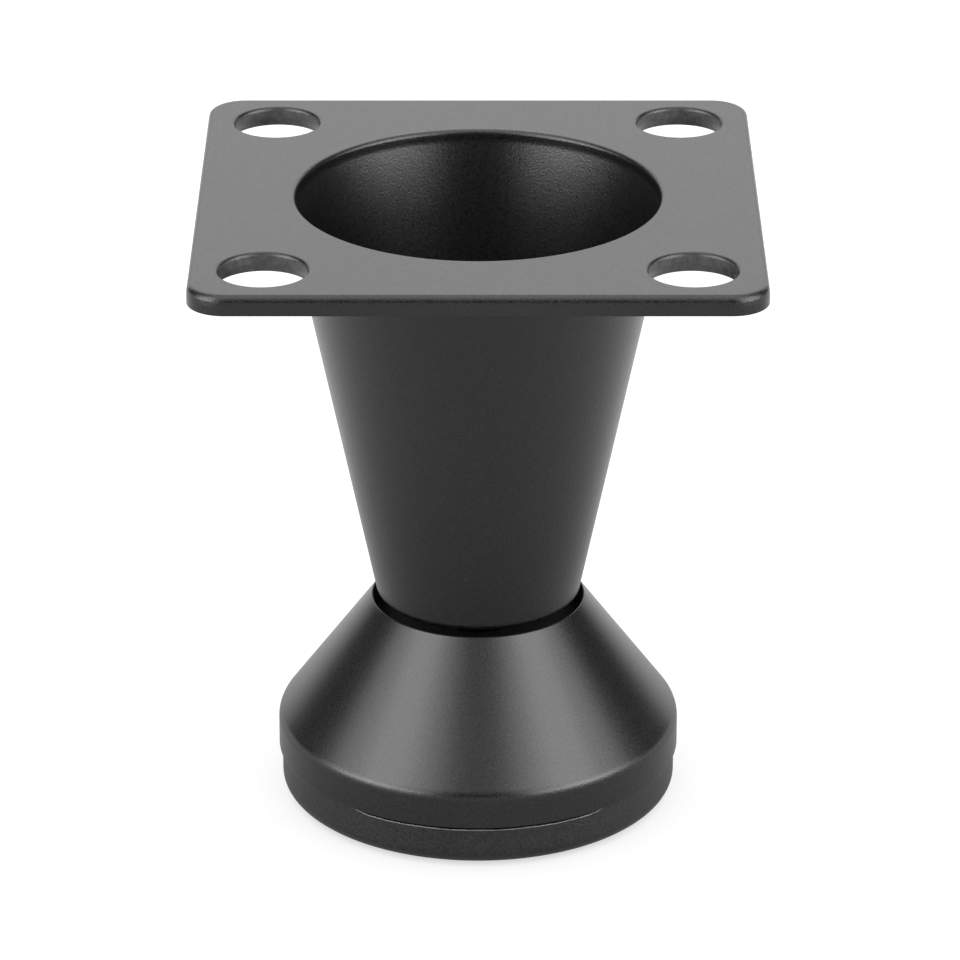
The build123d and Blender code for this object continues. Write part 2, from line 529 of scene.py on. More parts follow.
class GeometrySheet(NodeSheet):
    """A Geometry Nodes tree with named inputs, applied to a new object."""

    def __init__(self, name: str) -> None:
        """Makes an empty tree.

        Args:
            name: the tree's name.
        """
        super().__init__(bpy.data.node_groups.new(name, "GeometryNodeTree"))
        self.tree.interface.new_socket(name="Geometry", in_out="OUTPUT", socket_type="NodeSocketGeometry")
        self.values: dict[str, object] = {}
        self.given = self.add("NodeGroupInput")

    def size(self, name: str, value: float | int) -> bpy.types.NodeSocket:
        """Adds a named input.

        Args:
            name: the input's name.
            value: its value for this object, whole for a count.

        Returns:
            The socket that gives it.
        """
        kind = "NodeSocketInt" if isinstance(value, int) else "NodeSocketFloat"
        self.tree.interface.new_socket(name=name, in_out="INPUT", socket_type=kind)
        self.values[name] = value
        return self.given.outputs[name]

    def math(
        self, operation: str, first: object, second: object = 0.0, third: object = 0.0,
    ) -> bpy.types.NodeSocket:
        """A Math node's result."""
        inputs = {0: first, 1: second, 2: third}
        return self.add("ShaderNodeMath", inputs, operation=operation).outputs[0]

    def clamp(self, value: object, low: object, high: object) -> bpy.types.NodeSocket:
        """Holds a value between two others."""
        return self.math("MINIMUM", self.math("MAXIMUM", value, low), high)

    def vector(self, x: object, y: object, z: object) -> bpy.types.NodeSocket:
        """Joins three values into a vector."""
        return self.add("ShaderNodeCombineXYZ", {0: x, 1: y, 2: z}).outputs[0]

    def finish(
        self, geometry: bpy.types.NodeSocket, material: bpy.types.Material, name: str,
    ) -> bpy.types.Object:
        """Ends the tree, runs it and turns its result into a plain mesh object.

        Args:
            geometry: the socket of the finished geometry.
            material: the material to set.
            name: the new object's name.

        Returns:
            The object, with no modifier left on it.
        """
        real = self.add("GeometryNodeRealizeInstances", {0: geometry}).outputs[0]
        coated = self.add("GeometryNodeSetMaterial", {"Geometry": real, "Material": material}).outputs[0]
        self.add("NodeGroupOutput", {0: coated})
        made = bpy.data.objects.new(name, bpy.data.meshes.new(name))
        bpy.context.scene.collection.objects.link(made)
        modifier = made.modifiers.new(name, "NODES")
        modifier.node_group = self.tree
        for item in self.tree.interface.items_tree:
            if item.in_out == "INPUT":
                modifier[item.identifier] = self.values[item.name]
        result = bpy.data.meshes.new_from_object(made.evaluated_get(bpy.context.evaluated_depsgraph_get()))
        made.modifiers.remove(modifier)
        made.data = result
        result.name = name
        return made


@dataclass(frozen=True)
class Rim:
    """A round hole through the plate: its place, its radius and the section of its edge.

    The section holds distances from the hole's wall, into the sheet, and levels, from the lower face up.
    """

    x: float
    y: float
    radius: float
    steps: int
    section: Outline

    def loop(self, grow: float) -> Outline:
        """The points of a circle round the hole, anticlockwise.

        Args:
            grow: how much larger than the hole the circle is.

        Returns:
            Its points.
        """
        reach = self.radius + grow
        angles = even_angles(self.steps)
        return [(self.x + reach * math.cos(a), self.y + reach * math.sin(a)) for a in angles]

    def clears(self, x: float, y: float, row: int, margin: float = 0.0) -> bool:
        """Whether a point of the lower or upper face lies outside the hole.

        Args:
            x: the point's place along X.
            y: the point's place along Y.
            row: the row of the section on that face, 0 or -1.
            margin: how far outside it has to lie.

        Returns:
            True outside.
        """
        return math.hypot(x - self.x, y - self.y) > self.radius + self.section[row][0] + margin


@dataclass(frozen=True)
class MountingPlate:
    """The stamped square plate, with its central opening and four punched fixing holes."""

    corner_radius: float = 4.0
    upper_rounding: float = 0.75
    lower_rounding: float = 0.1
    lean: float = 0.1
    lean_start: float = 1.0
    lean_rounding: float = 4.0
    hole_inset: float = 7.75
    hole_radius: float = 4.65
    hole_rollover: float = 0.4
    breakout: float = 0.3
    breakout_height: float = 0.9
    breakout_lower_rounding: float = 0.06
    breakout_upper_rounding: float = 0.5
    opening_radius: float = 19.468
    opening_rounding: float = 0.45
    seam_inset: float = 0.1
    seam_height: float = 0.95
    seam_rounding: float = 3.0
    support: float = 0.2
    corner_steps: int = 16
    hole_steps: int = 96
    opening_steps: int = 240
    fill_spacing: float = 2.4
    # How strongly the fixing holes' walls take painted light.
    hole_painted_light: float = 0.8

    def square_loop(self, half: float, inset: float) -> Outline:
        """The plate's outline, moved inwards.

        Args:
            half: half the plate's side.
            inset: how far the outline is moved in.

        Returns:
            Its points, anticlockwise.
        """
        centre, radius = half - self.corner_radius, self.corner_radius - inset
        points = []
        for quarter in range(4):
            middle = math.radians(45 + 90 * quarter)
            x = math.copysign(centre, math.cos(middle))
            y = math.copysign(centre, math.sin(middle))
            for step in range(self.corner_steps + 1):
                angle = math.radians(90 * (quarter + step / self.corner_steps))
                points.append((x + radius * math.cos(angle), y + radius * math.sin(angle)))
        return points

    def section(self, lower: Sequence[Corner], high: float, rounding: float, lean: float = 0.0) -> Outline:
        """The sheet's edge from its lower face round to its upper face.

        Args:
            lower: the corners below the wall, as distance into the sheet and level.
            high: the upper face's level.
            rounding: the upper edge's radius.
            lean: how far the wall leans into the sheet on its way up from the last lower corner.

        Returns:
            Points of distance into the sheet and level.
        """
        wall = lower[-1].r + lean
        upper = [Corner(wall, high, rounding), Corner(wall + rounding + self.support, high)]
        return rounded_outline([*lower, *upper], closed=False)

    def rims(self, half: float, low: float, high: float) -> list[Rim]:
        """The central opening and the fixing holes.

        Args:
            half: half the plate's side.
            low: the lower face's level.
            high: the upper face's level.

        Returns:
            The rims, the opening first.
        """
        seam = [
            Corner(self.support - self.seam_inset, low),
            Corner(-self.seam_inset, low),
            Corner(self.seam_inset, low + self.seam_height, self.seam_rounding),
        ]
        opening = self.section(seam, high, self.opening_rounding)
        torn = [
            Corner(self.breakout + self.support, low),
            Corner(self.breakout, low, self.breakout_lower_rounding),
            Corner(0.0, low + self.breakout_height, self.breakout_upper_rounding),
        ]
        punched = self.section(torn, high, self.hole_rollover)
        made = [Rim(0.0, 0.0, self.opening_radius, self.opening_steps, opening)]
        place = half - self.hole_inset
        for sx in (-1, 1):
            for sy in (-1, 1):
                made.append(Rim(sx * place, sy * place, self.hole_radius, self.hole_steps, punched))
        return made

    def fill(
        self,
        mesh: bmesh.types.BMesh,
        loops: list[list[bmesh.types.BMVert]],
        rims: list[Rim],
        row: int,
        half: float,
    ) -> None:
        """Covers a flat face between its outer loop and its holes with even triangles.

        Args:
            mesh: the mesh to add the faces to.
            loops: the outer loop and then the holes' loops, as vertices of one level.
            rims: the holes.
            row: the row of their sections on this face, 0 or -1.
            half: half the face's side.
        """
        level = loops[0][0].co.z
        verts = [vert for loop in loops for vert in loop]
        edges, start = [], 0
        for loop in loops:
            edges += [(start + i, start + (i + 1) % len(loop)) for i in range(len(loop))]
            start += len(loop)
        points = [vert.co.xy for vert in verts]
        steps = int(2 * half / self.fill_spacing)
        spare = self.fill_spacing / 2
        for i in range(1, steps):
            for j in range(1, steps):
                x, y = -half + 2 * half * i / steps, -half + 2 * half * j / steps
                inside = min(half - abs(x), half - abs(y)) > spare
                if inside and all(rim.clears(x, y, row, spare) for rim in rims):
                    points.append(Vector((x, y)))
                    verts.append(mesh.verts.new((x, y, level)))
        made_points, _, triangles, origins, _, _ = delaunay_2d_cdt(points, edges, [], 0, 1e-6, True)
        for triangle in triangles:
            middle = sum((made_points[i] for i in triangle), Vector((0, 0))) / 3
            if all(rim.clears(middle.x, middle.y, row) for rim in rims):
                mesh.faces.new([verts[origins[i][0]] for i in triangle])

    def build(self) -> bpy.types.Object:
        """Builds the plate as one closed mesh.

        Returns:
            The dressed object.
        """
        reach = Reach.of("mounting_plate")
        half = reach.radius
        rims = self.rims(half, reach.low, reach.high)
        lower = [
            Corner(self.lower_rounding + self.support, reach.low),
            Corner(0.0, reach.low, self.lower_rounding),
            Corner(0.0, reach.low + self.lean_start, self.lean_rounding),
        ]
        outer = self.section(lower, reach.high, self.upper_rounding, self.lean)
        mesh = bmesh.new()
        loops = [(self.square_loop(half, inset), z) for inset, z in outer]
        edges = [[[mesh.verts.new((x, y, z)) for x, y in loop] for loop, z in loops]]
        for rim in rims:
            edges.append([[mesh.verts.new((x, y, z)) for x, y in rim.loop(grow)] for grow, z in rim.section])
        for rows in edges:
            for below, above in zip(rows, rows[1:]):
                count = len(below)
                for i in range(count):
                    k = (i + 1) % count
                    mesh.faces.new((below[i], below[k], above[k], above[i]))
        for row in (0, -1):
            self.fill(mesh, [rows[row] for rows in edges], rims, row, half)
        piece = mesh_object("plate", mesh)
        top = reach.high - self.hole_rollover / 2
        holes = rims[1:]

        def wear_and_painted_light(point: Vector) -> float:
            """Painted light: full on the fixing holes' walls, which are made paler."""
            near = any(not rim.clears(point.x, point.y, -1, -self.support) for rim in holes)
            return self.hole_painted_light if near and reach.low + 0.01 < point.z < top else 0.0

        mark_wear_and_painted_light(piece, wear_and_painted_light)
        return POWDER_COAT.dress(piece, Body.LEG, "mounting_plate")


@dataclass(frozen=True)
class LegCup:
    """The tapered leg: a drawn cup welded under the plate, with a nut on its floor."""

    end_radius: float = 11.06
    top_radius: float = 20.39
    wall: float = 1.0
    floor: float = 1.2
    end_rounding: float = 1.0
    floor_rounding: float = 1.0
    passage_radius: float = 4.6
    passage_break: float = 0.15
    segments: int = 240
    bead_radius: float = 0.72
    bead_offset: float = 0.3
    bead_ripples: int = 150
    bead_ripple_share: float = 0.09
    bead_points: int = 900
    nut_across_flats: float = 13.0
    nut_face_share: float = 0.95
    nut_bore_radius: float = 4.0
    nut_countersink: float = 0.5
    nut_segments: int = 144

    def shell(self) -> bpy.types.Object:
        """Builds the cup.

        Returns:
            The dressed object.
        """
        reach = Reach.of("leg_cone")
        taper = (self.top_radius - self.end_radius) / (reach.high - reach.low)
        run = self.wall * math.hypot(1, taper)
        floor_z = reach.low + self.floor
        corners = [
            Corner(self.passage_radius, reach.low, self.passage_break),
            Corner(self.end_radius, reach.low, self.end_rounding),
            Corner(self.top_radius, reach.high),
            Corner(self.top_radius - run, reach.high),
            Corner(self.end_radius + taper * self.floor - run, floor_z, self.floor_rounding),
            Corner(self.passage_radius, floor_z, self.passage_break),
        ]
        outline = rounded_outline(corners, closed=True)
        mesh = polar_mesh(lambda angle: outline, even_angles(self.segments), closed=True)
        piece = mesh_object("leg_cup", mesh)
        return POWDER_COAT.dress(piece, Body.LEG, "leg_cone")

    def bead(self) -> bpy.types.Object:
        """Builds the rippled weld bead where the cup meets the plate.

        Returns:
            The dressed object.
        """
        reach = Reach.of("leg_cone")
        sheet = GeometrySheet("weld_bead")
        ring = sheet.size("Ring Radius", (self.top_radius + self.bead_offset) * MM)
        level = sheet.size("Level", (reach.high - self.bead_offset) * MM)
        thick = sheet.size("Bead Radius", self.bead_radius * MM)
        ripples = sheet.size("Ripples", self.bead_ripples)
        depth = sheet.size("Ripple Share", self.bead_ripple_share)
        points = sheet.size("Points", self.bead_points)
        circle = sheet.add("GeometryNodeCurvePrimitiveCircle", {"Resolution": points, "Radius": ring})
        offset = sheet.vector(0.0, 0.0, level)
        lifted = sheet.add("GeometryNodeSetPosition", {"Geometry": circle.outputs[0], "Offset": offset})
        index = sheet.add("GeometryNodeInputIndex").outputs[0]
        phase = sheet.math("FRACT", sheet.math("DIVIDE", sheet.math("MULTIPLY", index, ripples), points))
        swell = sheet.math("SUBTRACT", 1.0, sheet.math("MULTIPLY", depth, sheet.math("POWER", phase, 2.0)))
        sized = sheet.add("GeometryNodeSetCurveRadius", {"Curve": lifted.outputs[0], "Radius": swell})
        profile = sheet.add("GeometryNodeCurvePrimitiveCircle", {"Resolution": 16, "Radius": thick})
        inputs = {"Curve": sized.outputs[0], "Profile Curve": profile.outputs[0]}
        bead = sheet.add("GeometryNodeCurveToMesh", inputs)
        piece = sheet.finish(bead.outputs[0], POWDER_COAT.material(), "weld_bead")
        piece.data.shade_smooth()
        return POWDER_COAT.dress(piece, Body.LEG)

    def nut(self) -> bpy.types.Object:
        """Builds the weld nut.

        Returns:
            The dressed object.
        """
        reach = Reach.of("weld_nut")
        face = self.nut_across_flats / 2 * self.nut_face_share
        sink = self.nut_bore_radius + self.nut_countersink

        def column(angle: float) -> Outline:
            """The nut's half section.

            Args:
                angle: the direction in radians.

            Returns:
                Its points.
            """
            edge = hexagon_radius(angle, self.nut_across_flats)
            drop = (edge - face) * math.tan(math.radians(HEX_CHAMFER_DEGREES))
            corners = [
                Corner(self.nut_bore_radius, reach.low + self.nut_countersink),
                Corner(sink, reach.low),
                Corner(face, reach.low),
                Corner(edge, reach.low + drop, HEX_CORNER_ROUNDING),
                Corner(edge, reach.high - drop, HEX_CORNER_ROUNDING),
                Corner(face, reach.high),
                Corner(sink, reach.high),
                Corner(self.nut_bore_radius, reach.high - self.nut_countersink),
            ]
            return rounded_outline(corners, closed=True, steps=HEX_ARC_STEPS, support=0.0)

        mesh = polar_mesh(column, even_angles(self.nut_segments), closed=True)
        piece = mesh_object("weld_nut_body", mesh)
        return POWDER_COAT.dress(piece, Body.LEG, "weld_nut")

    def build(self) -> list[bpy.types.Object]:
        """Builds the cup, its weld bead and its nut."""
        return [self.shell(), self.bead(), self.nut()]


@dataclass(frozen=True)
class AdjustingScrew:
    """The hexagon-headed screw that carries the foot, with its thread cut in full."""

    head_across_flats: float = 13.0
    head_height: float = 5.3
    head_face_share: float = 0.95
    shank_radius: float = 3.95
    pitch: float = 1.25
    thread_depth: float = 0.767
    crest_share: float = 1 / 16
    flank_share: float = 5 / 16
    tip_radius: float = 3.15
    run_out: float = 2.5
    rows_per_turn: int = 16
    columns: int = 48
    sunk: float = 0.3
    head_segments: int = 144

    def thread(self) -> bpy.types.Object:
        """Builds the threaded shank from a sheared grid rolled round the axis.

        Returns:
            The object.
        """
        reach = Reach.of("adjusting_screw")
        base = reach.low + self.head_height
        length = reach.high - base
        turns = round(length / self.pitch)
        sheet = GeometrySheet("screw_thread")
        base_z = sheet.size("Base", base * MM)
        pitch = sheet.size("Pitch", self.pitch * MM)
        count = sheet.size("Turns", turns)
        major = sheet.size("Major Radius", self.shank_radius * MM)
        depth = sheet.size("Thread Depth", self.thread_depth * MM)
        tip = sheet.size("Tip Radius", self.tip_radius * MM)
        run_out = sheet.size("Run Out", self.run_out * MM)
        per_turn = sheet.size("Rows Per Turn", self.rows_per_turn)
        columns = sheet.size("Columns", self.columns)
        rows = sheet.math("MULTIPLY", sheet.math("ADD", count, 1.0), per_turn)
        grid = sheet.add("GeometryNodeMeshGrid", {
            "Size X": 1.0, "Size Y": 1.0,
            "Vertices X": sheet.math("ADD", columns, 1.0), "Vertices Y": sheet.math("ADD", rows, 1.0),
        })
        position = sheet.add("GeometryNodeInputPosition").outputs[0]
        where = sheet.add("ShaderNodeSeparateXYZ", {0: position}).outputs
        u = sheet.math("ADD", where[0], 0.5)
        row_turn = sheet.math("MULTIPLY", sheet.math("ADD", where[1], 0.5), sheet.math("ADD", count, 1.0))
        top = sheet.math("MULTIPLY", pitch, count)
        raw = sheet.math("MULTIPLY", pitch, sheet.math("ADD", sheet.math("SUBTRACT", row_turn, 1.0), u))
        height = sheet.clamp(raw, 0.0, top)
        from_crest = sheet.math("ABSOLUTE", sheet.math("SUBTRACT", sheet.math("FRACT", row_turn), 0.5))
        past_crest = sheet.math("SUBTRACT", from_crest, self.crest_share)
        share = sheet.clamp(sheet.math("DIVIDE", past_crest, self.flank_share), 0.0, 1.0)
        fade = sheet.clamp(sheet.math("DIVIDE", height, run_out), 0.0, 1.0)
        cut = sheet.math("MULTIPLY", sheet.math("MULTIPLY", depth, share), fade)
        chamfer = sheet.math("ADD", tip, sheet.math("SUBTRACT", top, height))
        radius = sheet.math("MINIMUM", sheet.math("SUBTRACT", major, cut), chamfer)
        angle = sheet.math("MULTIPLY", u, FULL_TURN)
        place = sheet.vector(
            sheet.math("MULTIPLY", radius, sheet.math("COSINE", angle)),
            sheet.math("MULTIPLY", radius, sheet.math("SINE", angle)),
            sheet.math("ADD", height, base_z),
        )
        rolled = sheet.add("GeometryNodeSetPosition", {"Geometry": grid.outputs[0], "Position": place})
        joined = sheet.add("GeometryNodeJoinGeometry")
        sheet.tree.links.new(rolled.outputs[0], joined.inputs[0])
        for end_radius, level in ((tip, sheet.math("ADD", base_z, top)), (major, base_z)):
            inputs = {"Vertices": columns, "Radius": end_radius}
            disc = sheet.add("GeometryNodeMeshCircle", inputs, fill_type="TRIANGLE_FAN")
            offset = sheet.vector(0.0, 0.0, level)
            moved = sheet.add("GeometryNodeSetPosition", {"Geometry": disc.outputs[0], "Offset": offset})
            sheet.tree.links.new(moved.outputs[0], joined.inputs[0])
        inputs = {"Geometry": joined.outputs[0], "Distance": MERGE_MM * MM * 4}
        merged = sheet.add("GeometryNodeMergeByDistance", inputs)
        return sheet.finish(merged.outputs[0], BLACKENED_STEEL.material(), "screw_thread")

    def head(self) -> bmesh.types.BMesh:
        """Builds the head with its corners chamfered.

        Returns:
            The mesh in millimetres.
        """
        reach = Reach.of("adjusting_screw")
        top = reach.low + self.head_height
        face = self.head_across_flats / 2 * self.head_face_share

        def column(angle: float) -> Outline:
            """The head's half section.

            Args:
                angle: the direction in radians.

            Returns:
                Its points.
            """
            edge = hexagon_radius(angle, self.head_across_flats)
            drop = (edge - face) * math.tan(math.radians(HEX_CHAMFER_DEGREES))
            corners = [
                Corner(0.0, reach.low),
                Corner(face, reach.low),
                Corner(edge, reach.low + drop, HEX_CORNER_ROUNDING),
                Corner(edge, top - drop, HEX_CORNER_ROUNDING),
                Corner(face, top),
                Corner(0.0, top),
            ]
            return rounded_outline(corners, closed=False, steps=HEX_ARC_STEPS, support=0.0)

        return polar_mesh(column, even_angles(self.head_segments), closed=False)

    def build(self) -> bpy.types.Object:
        """Builds the screw as one object.

        Returns:
            The dressed object.
        """
        thread = self.thread()
        shell = bmesh.new()
        shell.from_mesh(thread.data)
        bmesh.ops.scale(shell, vec=(1 / MM,) * 3, verts=shell.verts)
        bpy.data.objects.remove(thread)
        head = bpy.data.meshes.new("head")
        head_mesh = self.head()
        head_mesh.to_mesh(head)
        head_mesh.free()
        shell.from_mesh(head)
        bpy.data.meshes.remove(head)
        piece = mesh_object("threaded_screw", shell, sharp_degrees=25.0)
        return BLACKENED_STEEL.dress(piece, Body.FOOT, "adjusting_screw")


@dataclass(frozen=True)
class Foot:
    """The moulded conical foot, with its mouth, hub, coring and ribs."""

    band_height: float = 3.82
    wall: float = 2.4
    crease_rounding: float = 2.0
    base_rounding: float = 0.15
    mouth_radius: float = 11.58
    lip_land: float = 0.17
    lip_inner_rounding: float = 0.06
    lip_rounding: float = 0.14
    mouth_depth: float = 3.0
    mouth_floor_rounding: float = 0.4
    hub_radius: float = 13.0
    hub_recess: float = 0.35
    pocket_across_flats: float = 13.1
    bore_radius: float = 4.05
    coring_top_width: float = 1.35
    snap_groove: tuple[float, float, float] = (20.12, 6.64, 7.34)
    snap_flare: float = 0.3
    rib_base: float = 8.59
    rib_count: int = 6
    rib_thickness: float = 1.6
    # How strongly the inside of the mouth takes painted shade.
    mouth_painted_shade: float = 4.0
    segments: int = 240

    def build(self) -> bpy.types.Object:
        """Builds the foot as one closed mesh.

        Returns:
            The dressed object.
        """
        reach = Reach.of("foot_cone")
        screw = Reach.of("adjusting_screw")
        lip_radius = self.mouth_radius + self.lip_land
        crease = reach.low + self.band_height
        hub_z = reach.low + self.hub_recess
        pocket_top = screw.low + AdjustingScrew.head_height
        taper = (reach.radius - lip_radius) / (reach.high - crease)
        run = self.wall * math.hypot(1, taper)
        inner = reach.radius - self.wall
        bend = crease - (run - self.wall) / taper
        roof_radius = self.hub_radius + self.coring_top_width
        roof = crease + (reach.radius - run - roof_radius) / taper
        groove_radius, groove_low, groove_high = self.snap_groove
        mouth_floor = reach.high - self.mouth_depth
        skin = rounded_outline([
            Corner(self.bore_radius, mouth_floor),
            Corner(self.mouth_radius, mouth_floor, self.mouth_floor_rounding),
            Corner(self.mouth_radius, reach.high, self.lip_inner_rounding),
            Corner(lip_radius, reach.high, self.lip_rounding),
            Corner(reach.radius, crease, self.crease_rounding),
            Corner(reach.radius, reach.low, self.base_rounding),
            Corner(inner, reach.low),
        ], closed=False)
        snap = [
            (inner, groove_low - self.snap_flare), (groove_radius, groove_low),
            (groove_radius, groove_high), (inner, groove_high + self.snap_flare), (inner, bend),
        ]
        rib_outer = (inner - (self.rib_base - bend) * taper, self.rib_base)
        rib_inner = (self.hub_radius, self.rib_base)
        hollow = [rib_outer, (roof_radius, roof), (self.hub_radius, roof), rib_inner]
        filled = [rib_outer, rib_outer, rib_inner, rib_inner]
        half_rib = self.rib_thickness / (inner + self.hub_radius)

        def column(angle: float, in_rib: bool) -> Outline:
            """The foot's half section, through a rib or beside it.

            Args:
                angle: the direction in radians.
                in_rib: whether it cuts a rib.

            Returns:
                Its points, as many either way.
            """
            pocket = hexagon_radius(angle, self.pocket_across_flats, blunt=1.0)
            hub = [
                (self.hub_radius, hub_z), (pocket, hub_z),
                (pocket, pocket_top), (self.bore_radius, pocket_top),
            ]
            return skin + snap + (filled if in_rib else hollow) + hub

        spacing = FULL_TURN / self.rib_count
        places: list[tuple[float, bool]] = []
        for rib in range(self.rib_count):
            start = spacing * rib
            places += [(start - half_rib, True), (start, True), (start + half_rib, True)]
            per_gap = self.segments // self.rib_count
            gap = spacing - 2 * half_rib
            places += [(start + half_rib + gap * i / per_gap, False) for i in range(per_gap + 1)]
        sections = iter(places)
        angles = [angle for angle, _ in places]
        mesh = polar_mesh(lambda angle: column(angle, next(sections)[1]), angles, closed=True)
        piece = mesh_object("foot_skirt", mesh)
        reaches = lip_radius - self.lip_rounding / 2

        def matt(point: Vector) -> float:
            """Painted shade: full inside the mouth, which is made darker and rougher."""
            inside = math.hypot(point.x, point.y) < reaches and point.z > mouth_floor - 0.01
            return self.mouth_painted_shade if inside else 0.0

        mark_wear_and_painted_light(piece, matt)
        return SATIN_PLASTIC.dress(piece, Body.FOOT, "foot_cone")


@dataclass(frozen=True)
class Glide:
    """The rubber disc under the foot, with its moulded rim and the collar that snaps into the foot."""

    sole_radius: float = 20.0
    sole_height: float = 0.24
    lower_rounding: float = 1.5
    rim_rounding: float = 0.1
    rim_width: float = 0.45
    rim_slope: float = 0.3
    rim_open: float = 4.59
    rim_closed: float = 4.86
    open_half_degrees: float = 36.0
    closing_degrees: float = 7.0
    flash_reach: float = 0.05
    flash_waviness: float = 0.045
    # How much of the flash's paleness and painted highlight stays where the gap is shut.
    flash_height: float = 0.15
    flash_faintness: float = 0.6
    flash_share: float = 0.75
    boss_radius: float = 12.5
    boss_top: float = 5.27
    collar_outer: float = 19.47
    collar_inner: float = 17.87
    bead_level: float = 6.99
    bead_radius: float = 0.35
    bead_points: int = 7
    segments: int = 480

    def rim_level(self, angle: float) -> float:
        """How high the rim stands: it leaves a gap under the foot only in front.

        Args:
            angle: the direction in radians.

        Returns:
            The rim's level in millimetres.
        """
        from_front = abs((math.degrees(angle) + 90 + 180) % 360 - 180)
        share = min(max((from_front - self.open_half_degrees) / self.closing_degrees + 0.5, 0.0), 1.0)
        smooth = share * share * (3 - 2 * share)
        return self.rim_open + (self.rim_closed - self.rim_open) * smooth

    def ragged(self, angle: float) -> float:
        """A small seedless unevenness along the moulding flash, from -1 to 1."""
        waves = ((23, 0.4, 0.42), (57, 1.9, 0.27), (131, 2.6, 0.19), (283, 0.8, 0.12))
        return sum(math.sin(count * angle + phase) * share for count, phase, share in waves)

    def build(self) -> bpy.types.Object:
        """Builds the glide as one closed mesh.

        Returns:
            The dressed object.
        """
        reach = Reach.of("glide")

        def column(angle: float) -> Outline:
            """The glide's half section.

            Args:
                angle: the direction in radians.

            Returns:
                Its points.
            """
            uneven = self.ragged(angle) * self.flash_waviness
            rim = self.rim_level(angle) + uneven
            step = reach.radius - self.rim_width
            disc = rounded_outline([
                Corner(0.0, 0.0),
                Corner(self.sole_radius, 0.0),
                Corner(self.sole_radius, self.sole_height),
                Corner(reach.radius, self.sole_height, self.lower_rounding),
                Corner(reach.radius, rim - self.flash_height),
                Corner(reach.radius + self.flash_reach + uneven, rim, self.rim_rounding),
                Corner(step, rim),
                Corner(step - self.rim_slope, self.rim_open),
                Corner(self.collar_outer, self.rim_open),
            ], closed=False)
            bead = []
            for i in range(self.bead_points):
                turn = math.pi * i / (self.bead_points - 1)
                out = self.collar_outer + self.bead_radius * math.sin(turn)
                bead.append((out, self.bead_level - self.bead_radius * math.cos(turn)))
            collar = [
                (self.collar_outer, reach.high),
                (self.collar_inner, reach.high),
                (self.collar_inner, self.rim_open),
            ]
            boss = [
                (self.boss_radius, self.rim_open), (self.boss_radius, self.boss_top), (0.0, self.boss_top),
            ]
            return disc + bead + collar + boss

        mesh = polar_mesh(column, even_angles(self.segments), closed=False)
        piece = mesh_object("glide_pad", mesh)
        edge = reach.radius - self.flash_reach

        def flash(point: Vector) -> float:
            """Pale along the moulding's torn edge, partly its own paleness and partly a painted highlight,
            most of all where the gap is open.

            Args:
                point: the place in millimetres.

            Returns:
                The marked share there, from 0 to 1.
            """
            level = self.rim_level(math.atan2(point.y, point.x))
            if math.hypot(point.x, point.y) < edge or point.z < level - self.flash_height * self.flash_share:
                return 0.0
            shut = (level - self.rim_open) / (self.rim_closed - self.rim_open)
            return 1.0 - (1.0 - self.flash_faintness) * shut

        mark_wear_and_painted_light(piece, flash)
        return RUBBER.dress(piece, Body.GLIDE, "glide")


@dataclass(frozen=True)
class Panel:
    """A rectangular studio panel that faces the leg: a lamp, or a dark flag where its radiance is 0."""

    name: str
    azimuth: float
    elevation: float
    distance: float
    width_degrees: float
    height_degrees: float
    radiance: float = 0.0

    def span(self, degrees: float) -> float:
        """The panel's size in metres where it fills an angle as seen from the leg."""
        return 2 * self.distance * math.tan(math.radians(degrees) / 2)

    def place(self, panel: bpy.types.Object, aim: Vector) -> None:
        """Puts the panel in its place, hidden from the camera and from matt surfaces.

        Args:
            panel: the panel's object.
            aim: the point that it faces, in metres.
        """
        a, e = math.radians(self.azimuth), math.radians(self.elevation)
        away = Vector((math.sin(a) * math.cos(e), -math.cos(a) * math.cos(e), math.sin(e)))
        panel.location = aim + away * self.distance
        panel.rotation_mode = "QUATERNION"
        panel.rotation_quaternion = away.to_track_quat("Z", "Y")
        panel.visible_camera = False
        panel.visible_diffuse = False

    def build(self, aim: Vector) -> bpy.types.Object:
        """Builds the panel.

        Args:
            aim: the point that it faces, in metres.

        Returns:
            The panel's object.
        """
        width, height = self.span(self.width_degrees), self.span(self.height_degrees)
        if self.radiance:
            data = bpy.data.lights.new(self.name, "AREA")
            data.shape = "RECTANGLE"
            data.size, data.size_y = width, height
            data.energy = self.radiance * math.pi * width * height
        else:
            data = bpy.data.meshes.new(self.name)
            corners = [(x * width / 2, y * height / 2, 0.0) for x, y in ((-1, -1), (1, -1), (1, 1), (-1, 1))]
            data.from_pydata(corners, [], [(0, 1, 2, 3)])
            data.materials.append(self.flag_cloth())
        panel = bpy.data.objects.new(self.name, data)
        bpy.context.scene.collection.objects.link(panel)
        self.place(panel, aim)
        return panel

    @staticmethod
    def flag_cloth() -> bpy.types.Material:
        """Builds the flags' dark material once.

        Returns:
            The material.
        """
        made = bpy.data.materials.get("flag_cloth")
        if made is not None:
            return made
        made = bpy.data.materials.new("flag_cloth")
        made.use_nodes = True
        sheet = ShaderSheet(made.node_tree)
        cloth = sheet.add("ShaderNodeBsdfDiffuse", {"Color": (0.03, 0.03, 0.03, 1.0)})
        sheet.add("ShaderNodeOutputMaterial", {"Surface": cloth.outputs[0]})
        return made


